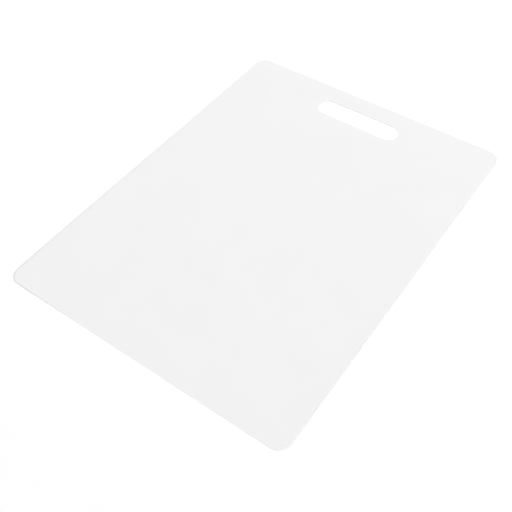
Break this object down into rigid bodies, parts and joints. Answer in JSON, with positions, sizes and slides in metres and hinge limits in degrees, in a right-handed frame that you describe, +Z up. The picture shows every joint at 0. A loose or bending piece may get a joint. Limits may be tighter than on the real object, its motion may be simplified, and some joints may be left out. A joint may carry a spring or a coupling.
{
  "type": "flexible cutting mat",
  "caption": "Thin frosted plastic chopping mat with round corners and a long hand slot at one end; its long sides curl up to pour off chopped food, and spring back flat.",
  "frame": {"origin": "centre of the underside, on the surface that the mat lies on", "axes": "+Y along the mat towards the hand slot, +X across the mat to the right seen with the slot away from you, +Z up out of the cutting face"},
  "size_m": [0.3, 0.4, 0.0008],
  "materials": {
    "frosted_sheet": "frosted, milky, slightly translucent polypropylene"
  },
  "bodies": {
    "centre": {"centre_strip": "frosted_sheet"},
    "left_01": {"left_strip_01": "frosted_sheet"},
    "left_02": {"left_strip_02": "frosted_sheet"},
    "left_03": {"left_strip_03": "frosted_sheet"},
    "left_04": {"left_strip_04": "frosted_sheet"},
    "left_05": {"left_strip_05": "frosted_sheet"},
    "left_06": {"left_strip_06": "frosted_sheet"},
    "left_07": {"left_strip_07": "frosted_sheet"},
    "left_08": {"left_strip_08": "frosted_sheet"},
    "left_09": {"left_strip_09": "frosted_sheet"},
    "left_10": {"left_strip_10": "frosted_sheet"},
    "left_11": {"left_strip_11": "frosted_sheet"},
    "left_12": {"left_strip_12": "frosted_sheet"},
    "right_01": {"right_strip_01": "frosted_sheet"},
    "right_02": {"right_strip_02": "frosted_sheet"},
    "right_03": {"right_strip_03": "frosted_sheet"},
    "right_04": {"right_strip_04": "frosted_sheet"},
    "right_05": {"right_strip_05": "frosted_sheet"},
    "right_06": {"right_strip_06": "frosted_sheet"},
    "right_07": {"right_strip_07": "frosted_sheet"},
    "right_08": {"right_strip_08": "frosted_sheet"},
    "right_09": {"right_strip_09": "frosted_sheet"},
    "right_10": {"right_strip_10": "frosted_sheet"},
    "right_11": {"right_strip_11": "frosted_sheet"},
    "right_12": {"right_strip_12": "frosted_sheet"}
  },
  "joints": [
    {"name": "left_curl", "type": "hinge", "parent": "centre", "child": "left_01", "pos_m": [-0.00391, 0, 0.0008], "axis": [0, 1, 0], "range_deg": [0, 10], "stiffness_Nm_per_rad": 2.83},
    {"name": "left_bend_02", "type": "hinge", "parent": "left_01", "child": "left_02", "pos_m": [-0.01175, 0, 0.0008], "axis": [0, 1, 0], "range_deg": [0, 10], "stiffness_Nm_per_rad": 2.81},
    {"name": "left_bend_03", "type": "hinge", "parent": "left_02", "child": "left_03", "pos_m": [-0.01967, 0, 0.0008], "axis": [0, 1, 0], "range_deg": [0, 10], "stiffness_Nm_per_rad": 2.78},
    {"name": "left_bend_04", "type": "hinge", "parent": "left_03", "child": "left_04", "pos_m": [-0.02773, 0, 0.0008], "axis": [0, 1, 0], "range_deg": [0, 10], "stiffness_Nm_per_rad": 2.72},
    {"name": "left_bend_05", "type": "hinge", "parent": "left_04", "child": "left_05", "pos_m": [-0.03601, 0, 0.0008], "axis": [0, 1, 0], "range_deg": [0, 10], "stiffness_Nm_per_rad": 2.64},
    {"name": "left_bend_06", "type": "hinge", "parent": "left_05", "child": "left_06", "pos_m": [-0.04457, 0, 0.0008], "axis": [0, 1, 0], "range_deg": [0, 10], "stiffness_Nm_per_rad": 2.51},
    {"name": "left_bend_07", "type": "hinge", "parent": "left_06", "child": "left_07", "pos_m": [-0.05372, 0, 0.0008], "axis": [0, 1, 0], "range_deg": [0, 10], "stiffness_Nm_per_rad": 2.33},
    {"name": "left_bend_08", "type": "hinge", "parent": "left_07", "child": "left_08", "pos_m": [-0.06364, 0, 0.0008], "axis": [0, 1, 0], "range_deg": [0, 10], "stiffness_Nm_per_rad": 2.14},
    {"name": "left_bend_09", "type": "hinge", "parent": "left_08", "child": "left_09", "pos_m": [-0.07445, 0, 0.0008], "axis": [0, 1, 0], "range_deg": [0, 10], "stiffness_Nm_per_rad": 1.93},
    {"name": "left_bend_10", "type": "hinge", "parent": "left_09", "child": "left_10", "pos_m": [-0.08665, 0, 0.0008], "axis": [0, 1, 0], "range_deg": [0, 10], "stiffness_Nm_per_rad": 1.65},
    {"name": "left_bend_11", "type": "hinge", "parent": "left_10", "child": "left_11", "pos_m": [-0.10129, 0, 0.0008], "axis": [0, 1, 0], "range_deg": [0, 10], "stiffness_Nm_per_rad": 1.25},
    {"name": "left_bend_12", "type": "hinge", "parent": "left_11", "child": "left_12", "pos_m": [-0.12208, 0, 0.0008], "axis": [0, 1, 0], "range_deg": [0, 10], "stiffness_Nm_per_rad": 0.91},
    {"name": "right_curl", "type": "hinge", "parent": "centre", "child": "right_01", "pos_m": [0.00391, 0, 0.0008], "axis": [0, -1, 0], "range_deg": [0, 10], "stiffness_Nm_per_rad": 2.83},
    {"name": "right_bend_02", "type": "hinge", "parent": "right_01", "child": "right_02", "pos_m": [0.01175, 0, 0.0008], "axis": [0, -1, 0], "range_deg": [0, 10], "stiffness_Nm_per_rad": 2.81},
    {"name": "right_bend_03", "type": "hinge", "parent": "right_02", "child": "right_03", "pos_m": [0.01967, 0, 0.0008], "axis": [0, -1, 0], "range_deg": [0, 10], "stiffness_Nm_per_rad": 2.78},
    {"name": "right_bend_04", "type": "hinge", "parent": "right_03", "child": "right_04", "pos_m": [0.02773, 0, 0.0008], "axis": [0, -1, 0], "range_deg": [0, 10], "stiffness_Nm_per_rad": 2.72},
    {"name": "right_bend_05", "type": "hinge", "parent": "right_04", "child": "right_05", "pos_m": [0.03601, 0, 0.0008], "axis": [0, -1, 0], "range_deg": [0, 10], "stiffness_Nm_per_rad": 2.64},
    {"name": "right_bend_06", "type": "hinge", "parent": "right_05", "child": "right_06", "pos_m": [0.04457, 0, 0.0008], "axis": [0, -1, 0], "range_deg": [0, 10], "stiffness_Nm_per_rad": 2.51},
    {"name": "right_bend_07", "type": "hinge", "parent": "right_06", "child": "right_07", "pos_m": [0.05372, 0, 0.0008], "axis": [0, -1, 0], "range_deg": [0, 10], "stiffness_Nm_per_rad": 2.33},
    {"name": "right_bend_08", "type": "hinge", "parent": "right_07", "child": "right_08", "pos_m": [0.06364, 0, 0.0008], "axis": [0, -1, 0], "range_deg": [0, 10], "stiffness_Nm_per_rad": 2.14},
    {"name": "right_bend_09", "type": "hinge", "parent": "right_08", "child": "right_09", "pos_m": [0.07445, 0, 0.0008], "axis": [0, -1, 0], "range_deg": [0, 10], "stiffness_Nm_per_rad": 1.93},
    {"name": "right_bend_10", "type": "hinge", "parent": "right_09", "child": "right_10", "pos_m": [0.08665, 0, 0.0008], "axis": [0, -1, 0], "range_deg": [0, 10], "stiffness_Nm_per_rad": 1.65},
    {"name": "right_bend_11", "type": "hinge", "parent": "right_10", "child": "right_11", "pos_m": [0.10129, 0, 0.0008], "axis": [0, -1, 0], "range_deg": [0, 10], "stiffness_Nm_per_rad": 1.25},
    {"name": "right_bend_12", "type": "hinge", "parent": "right_11", "child": "right_12", "pos_m": [0.12208, 0, 0.0008], "axis": [0, -1, 0], "range_deg": [0, 10], "stiffness_Nm_per_rad": 0.91}
  ],
  "couplings": [
    {"joint": "left_bend_02", "follows": "left_curl", "ratio": 1},
    {"joint": "left_bend_03", "follows": "left_curl", "ratio": 1},
    {"joint": "left_bend_04", "follows": "left_curl", "ratio": 1},
    {"joint": "left_bend_05", "follows": "left_curl", "ratio": 1},
    {"joint": "left_bend_06", "follows": "left_curl", "ratio": 1},
    {"joint": "left_bend_07", "follows": "left_curl", "ratio": 1},
    {"joint": "left_bend_08", "follows": "left_curl", "ratio": 1},
    {"joint": "left_bend_09", "follows": "left_curl", "ratio": 1},
    {"joint": "left_bend_10", "follows": "left_curl", "ratio": 1},
    {"joint": "left_bend_11", "follows": "left_curl", "ratio": 1},
    {"joint": "left_bend_12", "follows": "left_curl", "ratio": 1},
    {"joint": "right_bend_02", "follows": "right_curl", "ratio": 1},
    {"joint": "right_bend_03", "follows": "right_curl", "ratio": 1},
    {"joint": "right_bend_04", "follows": "right_curl", "ratio": 1},
    {"joint": "right_bend_05", "follows": "right_curl", "ratio": 1},
    {"joint": "right_bend_06", "follows": "right_curl", "ratio": 1},
    {"joint": "right_bend_07", "follows": "right_curl", "ratio": 1},
    {"joint": "right_bend_08", "follows": "right_curl", "ratio": 1},
    {"joint": "right_bend_09", "follows": "right_curl", "ratio": 1},
    {"joint": "right_bend_10", "follows": "right_curl", "ratio": 1},
    {"joint": "right_bend_11", "follows": "right_curl", "ratio": 1},
    {"joint": "right_bend_12", "follows": "right_curl", "ratio": 1}
  ]
}
